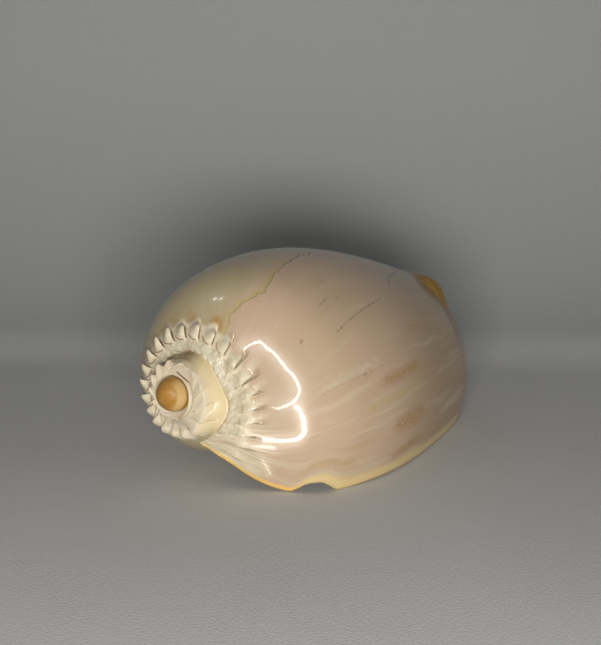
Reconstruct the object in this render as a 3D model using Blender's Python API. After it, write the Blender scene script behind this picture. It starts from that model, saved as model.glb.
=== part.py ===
"""Crowned baler shell, a large sea snail shell, lying on its opening.

The shell is one closed solid. Its wall is a coiled sheet: a section drawn in a
plane through the axis is swept around the axis while it grows, and the last
turn leaves an open, hollow body with a thin outer lip.

The section is laid out in the shell's own frame: the axis is Z, the tip of the
spire is at the origin, and the shell grows towards -Z. Growth is counted in
turns, 0 at the outer lip and negative further back.
"""
import bmesh
import bpy
import numpy as np
from math import pi, radians
from mathutils import Matrix, Vector

NAME = "shell"
COLLECTION = "crowned_baler_shell"

# Growth in turns, and how finely the sheet is divided
STEPS = 88
SUTURE_LEAD = 7
FIRST_TURN = -2.25
BACK = STEPS - SUTURE_LEAD
CAVITY_TURNS = 1.10
FREE_EDGE_TURNS = 0.56
RAMP_SHARES = (0.0, 0.09, 0.36, 0.70)
RAMP_ROWS = len(RAMP_SHARES)
BAND_ROWS = 4
BODY_ROWS = 13
INNER_ROWS = 8
DOME_RINGS = (44, 44, 22)

# Spire: the smooth dome at its tip and the crown line that circles it
DOME_RADIUS = 0.0071
DOME_HEIGHT = 0.0082
CROWN_CORE_RADIUS = 0.0071
CROWN_LIP_RADIUS = 0.0317
CROWN_GROWTH = 2.87
CROWN_TOP_DEPTH = 0.0070
CROWN_LIP_DEPTH = 0.0215
CROWN_DEPTH_PER_TURN = 0.0114

# Body: its radius at the lip, its growth in one turn, and its section as
# shares of the height and of the body radius, with the change per turn
BODY_RADIUS = 0.0746
BODY_GROWTH = 2.60
SECTION_HEIGHTS = (0.0, 0.05, 0.20, 0.42, 0.68, 0.90, 1.0)
SECTION_WIDTHS = (0.825, 0.978, 1.021, 0.950, 0.872)
SECTION_WIDENING = (0.0, 0.0, 0.0, 0.09, 0.28)
GROWTH_LINE_LAG = 0.089
GROWTH_LINE_REACH = 0.15

# Front end: the free edge with its shallow notch, and the tip of the pillar
SHELL_LENGTH = 0.172
FRONT_GROWTH = 1.175
FRONT_RADIUS = 0.0577
FRONT_RADIUS_GROWTH = 3.2
PILLAR_RADIUS = 0.0080
PILLAR_TIP_DEPTH = 0.164
PILLAR_TIP_DROP = 0.0050
BAND_RIDGE = 0.0018
BAND_RIDGE_SHARE = 0.968
FLARE = 0.0046
FLARE_TURN = -0.190
FLARE_WIDTH = 0.033

# Broken bite in the outer lip: its ends as shares of the lip, and its depth
CHIP_START = 0.100
CHIP_END = 0.215
CHIP_DEPTH = 0.0145

# Suture: how far below the previous crown line each new turn is joined on
SUTURE_DEPTH = 0.0070
SUTURE_DEPTH_EARLY = 0.0012
CANAL_DEPTH = 0.0036

# Crown spines: how many in a turn, and their size
SPINES_AT_LIP = 22.0
SPINES_CHANGE = 6.5
SPINE_PHASE = 0.2
SPINE_HEIGHT = 0.0040
SPINE_INNER_REACH = 0.0022
SPINE_OUTER_REACH = 0.0036

# Wall, and the slanting folds on the pillar inside the opening
WALL = 0.0028
LIP_WALL = 0.0018
FOLDS = (0.72, 0.79, 0.86)
FOLD_HEIGHT = 0.0022
FOLD_SLANT = 0.30

# How the shell lies, and how deep its contact points are worn flat
APEX_UP_DEGREES = 4.8
LIP_DOWN_DEGREES = 57.2
WORN_FLAT = 0.0004


def ease(low, high, value):
    """Rise smoothly from 0 at low to 1 at high."""
    share = np.clip((value - low) / (high - low), 0.0, 1.0)
    return share * share * (3.0 - 2.0 * share)


def crown_radius(turn):
    spread = CROWN_LIP_RADIUS - CROWN_CORE_RADIUS
    return CROWN_CORE_RADIUS + spread * CROWN_GROWTH ** turn


def crown_height(turn):
    """Height of the crown line: it sinks evenly, level around the dome."""
    drop = CROWN_LIP_DEPTH - CROWN_TOP_DEPTH + CROWN_DEPTH_PER_TURN * turn
    soft = np.sqrt(drop * drop + 0.002 ** 2)
    return -(CROWN_TOP_DEPTH + 0.5 * (drop + soft))


def front_radius(turn):
    """Radius of the front edge: wide at the lip, narrow at the pillar."""
    closing = 0.22 + 0.78 * ease(-0.66, -0.22, turn)
    wide = FRONT_RADIUS * FRONT_RADIUS_GROWTH ** turn * closing
    pillar = PILLAR_RADIUS * (0.8 + 0.2 * np.clip(turn + 2.0, 0.0, 1.0))
    return np.sqrt(wide ** 2 + pillar ** 2 * ease(-0.1, -0.6, turn))


def front_height(turn):
    grown = -SHELL_LENGTH * FRONT_GROWTH ** turn
    pillar = -PILLAR_TIP_DEPTH - 0.004 * ease(-1.6, -0.5, turn)
    share = ease(-0.62, -0.25, turn)
    return grown * share + pillar * (1.0 - share)


def spline(points, shares):
    """Clamped cubic B-spline with four equal spans, seven points a section."""
    knots = (0, 0, 0, 0, 0.25, 0.5, 0.75, 1, 1, 1, 1)
    at = np.clip(shares, 0.0, 1.0 - 1e-9)
    basis = [((at >= low) & (at < high)).astype(float)
             for low, high in zip(knots, knots[1:])]
    for degree in (1, 2, 3):
        raised = []
        for k in range(10 - degree):
            value = np.zeros_like(at)
            if knots[k + degree] > knots[k]:
                span = knots[k + degree] - knots[k]
                value += (at - knots[k]) / span * basis[k]
            if knots[k + degree + 1] > knots[k + 1]:
                span = knots[k + degree + 1] - knots[k + 1]
                value += (knots[k + degree + 1] - at) / span * basis[k + 1]
            raised.append(value)
        basis = raised
    return np.einsum("knm,nkc->nmc", np.array(basis), points)


def section_points(turn):
    """Control points (radius, height) of the body section at each turn."""
    change = np.clip(turn, -1.2, 0.0)
    body = BODY_RADIUS * BODY_GROWTH ** turn
    radii = [crown_radius(turn)]
    radii += [body * (width + widening * change)
              for width, widening in zip(SECTION_WIDTHS, SECTION_WIDENING)]
    radii += [front_radius(turn)]
    top, front = crown_height(turn), front_height(turn)
    heights = [top + (front - top) * share for share in SECTION_HEIGHTS]
    return np.stack([np.stack(radii, -1), np.stack(heights, -1)], -1)


def section_height_shares(shares):
    """How far down the section a share of the spline lies, from 0 to 1."""
    line = np.array([[(height, height) for height in SECTION_HEIGHTS]])
    return spline(line, shares[None])[0, :, 0]


def lag(share):
    """How far a growth line trails the crown, in turns."""
    return -GROWTH_LINE_LAG * (1.0 - np.exp(-share / GROWTH_LINE_REACH))


def canal_share(turn):
    """How deep the canal along the suture is, as a share of its full depth."""
    return ease(-0.12, -0.34, turn) * ease(-0.95, -0.70, turn)


def suture_share(turn):
    """Share of the previous section at which the given turn is joined on."""
    canal = CANAL_DEPTH * canal_share(turn)
    early = ease(-0.6, -1.1, turn)
    depth = SUTURE_DEPTH + (SUTURE_DEPTH_EARLY - SUTURE_DEPTH) * early + canal
    before = np.minimum(turn, 0.0) - 1.0
    total = crown_height(before) - front_height(before)
    shares = np.linspace(0.0, 0.4, 81)
    heights = section_height_shares(shares)
    return np.interp(depth / total, heights, shares)


def place(radius, turn, height):
    """Point at a radius, a turn and a height; growth runs clockwise."""
    angle = 2.0 * pi * turn
    return np.stack([radius * np.cos(angle), -radius * np.sin(angle),
                     height + 0.0 * radius], -1)


def normals(grid):
    """Outward unit normals of a grid of points."""
    along = np.gradient(grid, axis=0)
    across = np.gradient(grid, axis=1)
    normal = np.cross(along, across)
    return normal / np.linalg.norm(normal, axis=-1, keepdims=True)


def body_shares(turn):
    """Share of the section at each row, with one row on the next suture."""
    seam = suture_share(turn + 1.0)[:, None]
    band = np.linspace(0.0, 1.0, BAND_ROWS + 1)[None] ** 1.3
    even = np.linspace(0.0, 1.0, BODY_ROWS + 1)[None, 1:]
    rest = even - 0.6 * np.sin(2.0 * pi * even) / (2.0 * pi)
    return np.hstack([seam * band, seam + (1.0 - seam) * rest])


def chip(turn, shares):
    """How far the broken lip edge stands back, in turns."""
    inside = (shares - CHIP_START) / (CHIP_END - CHIP_START)
    bite = ease(-0.05, 0.30, inside) * ease(1.0, 0.40, inside)
    return CHIP_DEPTH * bite * ease(-0.09, 0.0, turn)[:, None]


def body_grid(turn, shares):
    radius, height = np.moveaxis(spline(section_points(turn), shares), -1, 0)
    back = chip(turn, shares)
    radius = radius * BODY_GROWTH ** -back
    return place(radius, turn[:, None] + lag(shares) - back, height)


def raise_ridges(grid, turn, shares):
    """Lift the band around the front end and the folds on the pillar."""
    lift = BAND_RIDGE * ease(-1.05, -0.75, turn) * ease(-0.25, -0.42, turn)
    lift = lift + FLARE * np.exp(-((turn - FLARE_TURN) / FLARE_WIDTH) ** 2)
    bump = np.exp(-((shares - BAND_RIDGE_SHARE) / 0.022) ** 2)
    height = lift[:, None] * bump
    inside = ease(-0.85, -1.05, turn)[:, None]
    for fold in FOLDS:
        centre = fold + FOLD_SLANT * (turn[:, None] + 1.2)
        fade = ease(0.55, 0.68, shares) * ease(1.0, 0.93, shares)
        bump = np.exp(-((shares - centre) / 0.018) ** 2)
        height = height + FOLD_HEIGHT * inside * fade * bump
    return grid + normals(grid) * height[..., None]


def ramp_grid(turn, seam, crown):
    """Rows from the suture out to the crown line, sunk into a canal."""
    across = np.array(RAMP_SHARES)[None, :, None]
    rise = CANAL_DEPTH * canal_share(turn)
    lift = (1.0 - across) * (1.0 - np.exp(-across / 0.12))
    ramp = seam[:, None] * (1.0 - across) + crown[:, None] * across
    # a straight chord between two directions cuts the corner, so the radius
    # and the height are set again from the two ends
    ends = [np.hypot(end[:, 0], end[:, 1]) for end in (seam, crown)]
    radius = ends[0][:, None] * (1 - across[..., 0]) + ends[1][:, None] * across[..., 0]
    flat = ramp[..., :2] / np.linalg.norm(ramp[..., :2], axis=-1, keepdims=True)
    height = ramp[..., 2:] + rise[:, None, None] * lift
    return np.concatenate([flat * radius[..., None], height], -1)


def add_spines(grid, turn):
    """Raise the hollow spines that lean forwards along the crown line."""
    crown = grid[:, RAMP_ROWS]
    steps = np.linalg.norm(np.diff(grid, axis=1), axis=-1)
    run = np.concatenate([np.zeros((len(turn), 1)), np.cumsum(steps, 1)], 1)
    offset = run - run[:, RAMP_ROWS:RAMP_ROWS + 1]
    size = (crown_radius(turn) / CROWN_LIP_RADIUS) ** 0.6
    size = size * (0.35 + 0.65 * ease(-0.03, -0.12, turn))
    size = size * (0.6 + 0.4 * ease(-1.15, -0.85, turn))
    size = size * ease(FIRST_TURN + 0.25, FIRST_TURN + 0.75, turn)
    inner = np.exp(-(np.minimum(offset, 0.0) / SPINE_INNER_REACH) ** 2)
    outer = np.exp(-(np.maximum(offset, 0.0) / SPINE_OUTER_REACH) ** 2)
    count = SPINES_AT_LIP * turn + 0.5 * SPINES_CHANGE * turn ** 2
    phase = (count + SPINE_PHASE) % 1.0
    saw = ease(0.05, 0.70, phase) * ease(1.0, 0.80, phase)
    amount = SPINE_HEIGHT * (size * saw)[:, None] * inner * outer
    angle = 2.0 * pi * turn
    out = np.stack([np.cos(angle), -np.sin(angle), 0.0 * angle], -1)
    ahead = np.stack([-np.sin(angle), -np.cos(angle), 0.0 * angle], -1)
    lean = 0.55 * out + 0.40 * ahead + np.array((0.0, 0.0, 0.75))
    return grid + amount[..., None] * lean[:, None]


def outer_grid(turn):
    """The outside of the whole coil, suture to front edge, at every step."""
    shares = body_shares(turn)
    body = raise_ridges(body_grid(turn, shares), turn, shares)
    seam_row = body[:, BAND_ROWS]
    base = place(np.full(BACK, DOME_RADIUS), turn[:BACK] * STEPS / BACK,
                 np.full(BACK, -DOME_HEIGHT))
    seam = np.concatenate([base, seam_row[:-BACK]])
    grid = np.concatenate([ramp_grid(turn, seam, body[:, 0]), body], 1)
    grid = add_spines(grid, turn)
    # the first steps swell out of the dome's base
    swell = 0.12 + 0.88 * ease(FIRST_TURN, FIRST_TURN + 0.35, turn)
    first = slice(0, BACK)
    grid[first] = base[:, None] + swell[first, None, None] * (grid[first] - base[:, None])
    grid[BACK:, 0] = grid[:-BACK, RAMP_ROWS + BAND_ROWS]
    return grid


def inner_grid(turn, outer):
    """The inside face of the outer wall, from the lip back into the coil."""
    count = len(turn)
    shares = np.tile(np.linspace(0.0, 1.0, INNER_ROWS + 1) ** 1.5, (count, 1))
    body = body_grid(turn, shares)
    wall = LIP_WALL + (WALL - LIP_WALL) * ease(0.0, -0.12, turn)
    return body - normals(body) * wall[:, None, None]


class Sheet:
    """Collects vertices and faces of the closed sheet."""

    def __init__(self):
        self.points = []
        self.faces = []

    def add(self, point):
        self.points.append(tuple(float(c) for c in point))
        return len(self.points) - 1

    def add_grid(self, grid):
        return np.array([[self.add(point) for point in row] for row in grid])

    def face(self, *corners):
        """Add a face whose corners run clockwise seen from outside."""
        kept = [c for k, c in enumerate(corners) if c != corners[k - 1]]
        if len(kept) > 2:
            self.faces.append(kept[::-1])

    def quads(self, ids, flip=False):
        for low, high in zip(ids, ids[1:]):
            for a, b, c, d in zip(low, low[1:], high[1:], high):
                self.face(*((a, d, c, b) if flip else (a, b, c, d)))

    def zip_chains(self, first, second):
        """Join two chains of vertices with triangles, evenly along both."""
        spots = []
        for chain in (first, second):
            places = np.array([self.points[k] for k in chain])
            run = np.cumsum(np.linalg.norm(np.diff(places, axis=0), axis=1))
            spots.append(np.concatenate([[0.0], run / max(run[-1], 1e-9)]))
        a, b = 0, 0
        while a < len(first) - 1 or b < len(second) - 1:
            if b == len(second) - 1 or (
                    a < len(first) - 1 and spots[0][a + 1] <= spots[1][b + 1]):
                self.face(first[a], first[a + 1], second[b])
                a += 1
            else:
                self.face(first[a], second[b + 1], second[b])
                b += 1


def close_dome(sheet, loop):
    """Cap the start of the coil with the smooth dome."""
    chain = list(loop)
    levels = len(DOME_RINGS)
    for level, count in enumerate(DOME_RINGS):
        angle = 0.5 * pi * (level + 1) / (levels + 1)
        radius = DOME_RADIUS * np.cos(angle)
        height = -DOME_HEIGHT * (1.0 - np.sin(angle))
        ring = [sheet.add(place(np.array(radius), FIRST_TURN + k / count, height))
                for k in range(count)]
        ring.append(ring[0])
        sheet.zip_chains(chain, ring)
        chain = ring
    tip = sheet.add((0.0, 0.0, 0.0))
    for a, b in zip(chain, chain[1:]):
        sheet.face(tip, a, b)


def close_pillar(sheet, loop):
    """Cap the front end of the pillar with a blunt tip."""
    rim = np.array([sheet.points[k] for k in loop])
    tip = rim.mean(0) - np.array((0.0, 0.0, PILLAR_TIP_DROP))
    chain = list(loop) + [loop[0]]
    for share in (0.35, 0.7):
        drop = PILLAR_TIP_DROP * share * (1.0 - share)
        ring = [sheet.add(point * (1 - share) + tip * share - np.array((0, 0, drop)))
                for point in rim[::2]]
        ring.append(ring[0])
        sheet.zip_chains(ring, chain)
        chain = ring
    centre = sheet.add(tip)
    for a, b in zip(chain, chain[1:]):
        sheet.face(b, a, centre)


def shell_sheet():
    """Build the closed sheet: outside, inside, rims, dome and pillar tip."""
    start = round(FIRST_TURN * STEPS)
    turn = np.arange(start, 1) / STEPS
    last = len(turn) - 1
    seam = RAMP_ROWS + BAND_ROWS
    inner_seam = seam + 1
    free = round(FREE_EDGE_TURNS * STEPS)
    deep = round(CAVITY_TURNS * STEPS)

    outer = outer_grid(turn)
    sheet = Sheet()
    out = np.full(outer.shape[:2], -1)
    for i in range(last + 1):
        for j in range(outer.shape[1]):
            shared = j == 0 and i >= BACK
            hidden = j > seam and i < last - BACK - deep
            if shared:
                out[i, j] = out[i - BACK, seam]
            elif not hidden:
                out[i, j] = sheet.add(outer[i, j])
    end = last - BACK
    sheet.quads(out[:end + 1, :seam + 1])
    sheet.quads(out[end:])
    sheet.quads(out[end - deep:end + 1, inner_seam:])

    inner = inner_grid(turn[last - deep:], outer)
    ins = np.full(inner.shape[:2], -1)
    for k in range(deep + 1):
        i = last - deep + k
        for j in range(inner.shape[1]):
            if j == 0:
                ins[k, j] = out[i - BACK, inner_seam]
            elif j == inner.shape[1] - 1 and i <= last - free:
                ins[k, j] = out[i - BACK, -1]
            else:
                ins[k, j] = sheet.add(inner[k, j])
    sheet.quads(ins, flip=True)

    # lip, free front edge and the blind end of the cavity
    lip_inner = list(out[end, seam:inner_seam]) + list(ins[-1])
    sheet.zip_chains(list(out[last]), lip_inner)
    for k in range(deep - free, deep):
        i = last - deep + k
        sheet.face(out[i, -1], ins[k, -1], ins[k + 1, -1], out[i + 1, -1])
    sheet.zip_chains(list(ins[0]), list(out[end - deep, inner_seam:]))

    close_dome(sheet, list(out[:BACK, 0]) + list(out[0, seam::-1]))
    close_pillar(sheet, list(out[last - free - BACK:last - free + 1, -1]))
    return sheet


def lying_matrix():
    """Turn the shell's own frame so that the shell lies on its opening."""
    tilt, down = radians(APEX_UP_DEGREES), radians(LIP_DOWN_DEGREES)
    axis = Vector((-np.cos(tilt), 0.0, np.sin(tilt)))
    side, up = Vector((0.0, -1.0, 0.0)), Vector((np.sin(tilt), 0.0, np.cos(tilt)))
    columns = (side * np.cos(down) - up * np.sin(down),
               up * np.cos(down) + side * np.sin(down), axis)
    return Matrix(columns).transposed().to_4x4()


def shell_material():
    material = bpy.data.materials.new("shell_cream")
    material.use_nodes = True
    shader = material.node_tree.nodes["Principled BSDF"]
    shader.inputs["Base Color"].default_value = (0.58, 0.43, 0.29, 1.0)
    shader.inputs["Roughness"].default_value = 0.22
    shader.inputs["Metallic"].default_value = 0.0
    return material


def build_shell(collection):
    """Make the shell object, lay it down and rest it on the ground plane."""
    sheet = shell_sheet()
    mesh = bpy.data.meshes.new(NAME)
    mesh.from_pydata(sheet.points, [], [list(map(int, f)) for f in sheet.faces])
    mesh.transform(lying_matrix())
    points = np.array([v.co for v in mesh.vertices])
    low, high = points.min(0), points.max(0)
    middle = 0.5 * (low + high)
    mesh.transform(Matrix.Translation(
        (-middle[0], -middle[1], -low[2] - WORN_FLAT)))
    for vertex in mesh.vertices:
        vertex.co.z = max(vertex.co.z, 0.0)
    model = bmesh.new()
    model.from_mesh(mesh)
    bmesh.ops.triangulate(model, faces=model.faces)
    model.to_mesh(mesh)
    model.free()
    for polygon in mesh.polygons:
        polygon.use_smooth = True
    mesh.materials.append(shell_material())
    shell = bpy.data.objects.new(NAME, mesh)
    collection.objects.link(shell)
    return shell


def main():
    for old in list(bpy.data.objects):
        bpy.data.objects.remove(old, do_unlink=True)
    collection = bpy.data.collections.new(COLLECTION)
    bpy.context.scene.collection.children.link(collection)
    build_shell(collection)


main()
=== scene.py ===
"""Looks of the crowned baler shell: its fine surface, materials, light and camera.

The fine surface follows the same rule as the solid: a section in a plane
through the axis is swept around the axis while it grows. Growth is counted in
turns, 0 at the outer lip and negative further back. The surface keeps its turn,
its share of the section and its run from the crown line in millimetres, and the
materials are laid out along these, as the real colours are.
"""
import bpy
import numpy as np
from math import atan2, cos, pi, radians, sin
from mathutils import Matrix, Vector


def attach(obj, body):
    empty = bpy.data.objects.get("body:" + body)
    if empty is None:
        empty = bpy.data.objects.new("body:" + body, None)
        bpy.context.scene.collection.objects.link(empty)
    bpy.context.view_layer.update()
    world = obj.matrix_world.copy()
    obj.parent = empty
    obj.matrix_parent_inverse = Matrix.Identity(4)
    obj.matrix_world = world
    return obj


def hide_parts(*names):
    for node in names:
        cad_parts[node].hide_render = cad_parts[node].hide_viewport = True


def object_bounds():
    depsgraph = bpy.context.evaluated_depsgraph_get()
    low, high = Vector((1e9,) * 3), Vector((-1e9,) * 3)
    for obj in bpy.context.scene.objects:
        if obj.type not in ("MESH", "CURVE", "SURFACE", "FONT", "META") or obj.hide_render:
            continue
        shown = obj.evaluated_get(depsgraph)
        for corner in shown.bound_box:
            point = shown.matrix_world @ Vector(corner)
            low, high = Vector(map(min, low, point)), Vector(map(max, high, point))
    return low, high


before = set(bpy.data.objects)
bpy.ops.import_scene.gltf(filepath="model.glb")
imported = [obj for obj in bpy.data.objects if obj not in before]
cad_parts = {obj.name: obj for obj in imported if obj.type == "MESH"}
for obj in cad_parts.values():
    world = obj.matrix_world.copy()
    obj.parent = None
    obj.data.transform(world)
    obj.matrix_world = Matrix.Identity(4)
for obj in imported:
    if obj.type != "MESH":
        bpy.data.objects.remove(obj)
CAD_BOX = [[float(c) for c in corner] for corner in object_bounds()]

# Growth in turns, and how finely the surface is divided
STEPS = 352
SUTURE_LEAD = 28
FIRST_TURN = -2.25
BACK = STEPS - SUTURE_LEAD
CAVITY_TURNS = 1.10
FREE_EDGE_TURNS = 0.56
RAMP_ROWS = 13
BAND_ROWS = 13
BODY_ROWS = 58
INNER_ROWS = 28
DOME_RINGS = (160, 160, 120, 120, 80, 60, 40, 20)

# Spire: the smooth dome at its tip and the crown line that circles it
DOME_RADIUS = 0.0075
DOME_HEIGHT = 0.0086
DOME_LIGHT_SIDE = 0.10
CROWN_CORE_RADIUS = 0.0071
CROWN_LIP_RADIUS = 0.0317
CROWN_GROWTH = 2.87
CROWN_TOP_DEPTH = 0.0070
CROWN_LIP_DEPTH = 0.0215
CROWN_DEPTH_PER_TURN = 0.0114

# Body section, as shares of the height and of the body radius
BODY_RADIUS = 0.0746
BODY_GROWTH = 2.60
SECTION_HEIGHTS = (0.0, 0.05, 0.20, 0.42, 0.68, 0.90, 1.0)
SECTION_WIDTHS = (0.825, 0.978, 1.021, 0.950, 0.872)
SECTION_WIDENING = (0.0, 0.0, 0.0, 0.09, 0.28)
GROWTH_LINE_LAG = 0.089
GROWTH_LINE_REACH = 0.15

# Front end: the free edge with its flare, and the tip of the pillar
SHELL_LENGTH = 0.172
FRONT_GROWTH = 1.175
FRONT_RADIUS = 0.0577
FRONT_RADIUS_GROWTH = 3.2
PILLAR_RADIUS = 0.0080
PILLAR_TIP_DEPTH = 0.164
PILLAR_TIP_DROP = 0.0050
BAND_RIDGE = 0.0018
BAND_RIDGE_SHARE = 0.968
FLARE = 0.0046
FLARE_TURN = -0.190
FLARE_WIDTH = 0.033

# Broken bite in the outer lip: its ends as shares of the lip, and its depth
CHIP_START = 0.100
CHIP_END = 0.215
CHIP_DEPTH = 0.0145

# Suture: how far below the previous crown line each new turn is joined on
SUTURE_DEPTH = 0.0070
SUTURE_DEPTH_EARLY = 0.0012
SUTURE_SAG = 0.0021
SUTURE_SAG_TURN = -0.085
SUTURE_SAG_WIDTH = 0.06
CANAL_DEPTH = 0.0036

# Crown spines: how many in a turn, where that changes, and their size
SPINES_PER_TURN = 22.2
SPINES_NEAR_LIP = 33.0
SPINES_EARLY = 13.5
SPINES_LIP_TURN = -0.19
SPINES_EARLY_TURN = -0.95
SPINE_PHASE = 0.33
SPINE_HEIGHT = 0.0050
SPINE_CENTRE = 0.0012
SPINE_CLAW = 0.0026
SPINE_INNER_REACH = 0.0026
SPINE_OUTER_REACH = 0.0030
RIM_KNOB = 0.0006

# Wall, and the slanting folds on the pillar inside the opening
WALL = 0.0028
LIP_WALL = 0.0018
FOLDS = (0.72, 0.79, 0.86)
FOLD_HEIGHT = 0.0022
FOLD_SLANT = 0.30

# How the shell lies
APEX_UP_DEGREES = 4.8
LIP_DOWN_DEGREES = 57.2
WORN_FLAT = 0.0004
FIT_MARGIN = 0.0002

# Camera: where it stands around the shell, and its lens
CAMERA_PLACE = (-0.4637, -0.2986, 0.1952)
CAMERA_AZIMUTH = -56.97
CAMERA_ELEVATION = 14.23
CAMERA_ROLL = 0.48
CAMERA_LENS = 76.76

# Cloth: where behind the shell it starts to rise, and how it bends
BEND_START = 0.11
BEND_RADIUS = 0.17
BEND_DEGREES = 82.0

# Thin bright outlines mirrored on the body: points (turn, share) on the shell,
# width on the shell, distance of the bright strip and its strength
UPPER_LOOP = ((-0.257, 0.024), (-0.251, 0.036), (-0.2405, 0.052), (-0.225, 0.056),
              (-0.210, 0.062), (-0.181, 0.070), (-0.165, 0.078), (-0.153, 0.082),
              (-0.140, 0.082), (-0.1306, 0.068), (-0.1296, 0.052), (-0.1296, 0.040),
              (-0.1368, 0.026), (-0.146, 0.012))
LOWER_LOOP = ((-0.125, 0.070), (-0.114, 0.080), (-0.104, 0.084), (-0.094, 0.086),
              (-0.086, 0.088), (-0.079, 0.082), (-0.077, 0.074), (-0.076, 0.054),
              (-0.077, 0.038), (-0.076, 0.026))
SHORT_BAR = ((-0.0612, 0.020), (-0.0632, 0.032), (-0.0632, 0.046))
SQUIGGLE = ((-0.038, 0.036), (-0.029, 0.046), (-0.0197, 0.056), (-0.0155, 0.066))
GLINT_ONE = ((-0.3534, 0.0741), (-0.3462, 0.0802))
GLINT_TWO = ((-0.340, 0.0782), (-0.3348, 0.0842))
REFLECTIONS = ((UPPER_LOOP, 0.0011, 0.20, 36.0), (LOWER_LOOP, 0.0013, 0.03, 36.0),
               (SHORT_BAR, 0.0012, 0.02, 20.0), (SQUIGGLE, 0.0007, 0.012, 14.0),
               (GLINT_ONE, 0.0012, 0.20, 18.0), (GLINT_TWO, 0.0011, 0.20, 18.0))


def ease(low, high, value):
    """Rise smoothly from 0 at low to 1 at high."""
    share = np.clip((value - low) / (high - low), 0.0, 1.0)
    return share * share * (3.0 - 2.0 * share)


def hashed(number, salt):
    """A fixed, random-looking value from 0 to 1 for a whole number."""
    return np.modf(np.abs(np.sin(number * 12.9898 + salt * 78.233) * 43758.5453))[0]


def crown_radius(turn):
    spread = CROWN_LIP_RADIUS - CROWN_CORE_RADIUS
    return CROWN_CORE_RADIUS + spread * CROWN_GROWTH ** turn


def crown_height(turn):
    drop = CROWN_LIP_DEPTH - CROWN_TOP_DEPTH + CROWN_DEPTH_PER_TURN * turn
    soft = np.sqrt(drop * drop + 0.002 ** 2)
    return -(CROWN_TOP_DEPTH + 0.5 * (drop + soft))


def front_radius(turn):
    closing = 0.22 + 0.78 * ease(-0.66, -0.22, turn)
    wide = FRONT_RADIUS * FRONT_RADIUS_GROWTH ** turn * closing
    pillar = PILLAR_RADIUS * (0.8 + 0.2 * np.clip(turn + 2.0, 0.0, 1.0))
    return np.sqrt(wide ** 2 + pillar ** 2 * ease(-0.1, -0.6, turn))


def front_height(turn):
    grown = -SHELL_LENGTH * FRONT_GROWTH ** turn
    pillar = -PILLAR_TIP_DEPTH - 0.004 * ease(-1.6, -0.5, turn)
    share = ease(-0.62, -0.25, turn)
    return grown * share + pillar * (1.0 - share)


def spline(points, shares):
    """Clamped cubic B-spline with four equal spans, seven points a section."""
    knots = (0, 0, 0, 0, 0.25, 0.5, 0.75, 1, 1, 1, 1)
    at = np.clip(shares, 0.0, 1.0 - 1e-9)
    basis = [((at >= low) & (at < high)).astype(float)
             for low, high in zip(knots, knots[1:])]
    for degree in (1, 2, 3):
        raised = []
        for k in range(10 - degree):
            value = np.zeros_like(at)
            if knots[k + degree] > knots[k]:
                span = knots[k + degree] - knots[k]
                value += (at - knots[k]) / span * basis[k]
            if knots[k + degree + 1] > knots[k + 1]:
                span = knots[k + degree + 1] - knots[k + 1]
                value += (knots[k + degree + 1] - at) / span * basis[k + 1]
            raised.append(value)
        basis = raised
    return np.einsum("knm,nkc->nmc", np.array(basis), points)


def section_points(turn):
    """Control points (radius, height) of the body section at each turn."""
    change = np.clip(turn, -1.2, 0.0)
    body = BODY_RADIUS * BODY_GROWTH ** turn
    radii = [crown_radius(turn)]
    radii += [body * (width + widening * change)
              for width, widening in zip(SECTION_WIDTHS, SECTION_WIDENING)]
    radii += [front_radius(turn)]
    top, front = crown_height(turn), front_height(turn)
    heights = [top + (front - top) * share for share in SECTION_HEIGHTS]
    return np.stack([np.stack(radii, -1), np.stack(heights, -1)], -1)


def section_height_shares(shares):
    line = np.array([[(height, height) for height in SECTION_HEIGHTS]])
    return spline(line, shares[None])[0, :, 0]


def lag(share):
    """How far a growth line trails the crown, in turns."""
    return -GROWTH_LINE_LAG * (1.0 - np.exp(-share / GROWTH_LINE_REACH))


def canal_share(turn):
    return ease(-0.18, -0.40, turn) * ease(-0.95, -0.70, turn)


def suture_share(turn):
    """Share of the previous section at which the given turn is joined on."""
    canal = CANAL_DEPTH * canal_share(turn)
    early = ease(-0.6, -1.1, turn)
    sag = SUTURE_SAG * np.exp(-((turn - SUTURE_SAG_TURN) / SUTURE_SAG_WIDTH) ** 2)
    depth = SUTURE_DEPTH + (SUTURE_DEPTH_EARLY - SUTURE_DEPTH) * early + canal + sag
    before = np.minimum(turn, 0.0) - 1.0
    total = crown_height(before) - front_height(before)
    shares = np.linspace(0.0, 0.4, 161)
    heights = section_height_shares(shares)
    return np.interp(depth / total, heights, shares)


def place(radius, turn, height):
    angle = 2.0 * pi * turn
    return np.stack([radius * np.cos(angle), -radius * np.sin(angle),
                     height + 0.0 * radius], -1)


def normals(grid):
    along = np.gradient(grid, axis=0)
    across = np.gradient(grid, axis=1)
    normal = np.cross(along, across)
    return normal / np.linalg.norm(normal, axis=-1, keepdims=True)


def body_shares(turn):
    """Share of the section at each row, with one row on the next suture."""
    seam = suture_share(turn + 1.0)[:, None]
    band = np.linspace(0.0, 1.0, BAND_ROWS + 1)[None] ** 1.3
    even = np.linspace(0.0, 1.0, BODY_ROWS + 1)[None, 1:]
    rest = even - 0.6 * np.sin(2.0 * pi * even) / (2.0 * pi)
    return np.hstack([seam * band, seam + (1.0 - seam) * rest])


def chip(turn, shares):
    """How far the broken lip edge stands back, in turns."""
    inside = (shares - CHIP_START) / (CHIP_END - CHIP_START)
    bite = ease(-0.03, 0.22, inside) * ease(1.0, 0.40, inside)
    rough = 1.0 + 0.03 * np.sin(17.0 * inside + 1.0)
    return CHIP_DEPTH * bite * rough * ease(-0.09, 0.0, turn)[:, None]


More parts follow.
